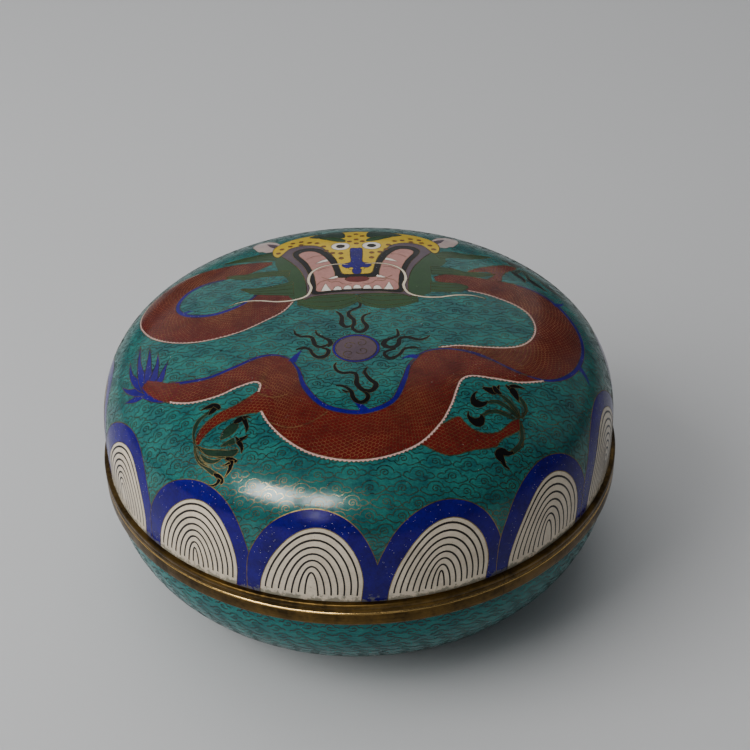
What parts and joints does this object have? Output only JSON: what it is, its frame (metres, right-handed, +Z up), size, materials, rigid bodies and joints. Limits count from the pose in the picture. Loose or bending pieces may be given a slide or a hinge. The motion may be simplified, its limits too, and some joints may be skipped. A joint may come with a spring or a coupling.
{
  "type": "cloisonne enamel box",
  "caption": "Round covered box in cloisonne enamel on copper, with a domed lift-off lid, a rounded bowl, brass rims and a low foot ring.",
  "frame": {"origin": "centre of the foot ring's underside, where the box stands", "axes": "+Z up along the axis of the box, -Y towards the picture's viewer, +X to the viewer's right"},
  "size_m": [0.22, 0.22, 0.123],
  "materials": {
    "lid_enamel": "polished enamel, slightly pitted",
    "bowl_enamel": "polished enamel, slightly pitted",
    "brass": "worn, toned"
  },
  "bodies": {
    "root": {"lid_shell": "lid_enamel", "lid_rim": "brass", "bowl_shell": "bowl_enamel", "bowl_rim": "brass", "foot_ring": "brass"}
  },
  "joints": []
}
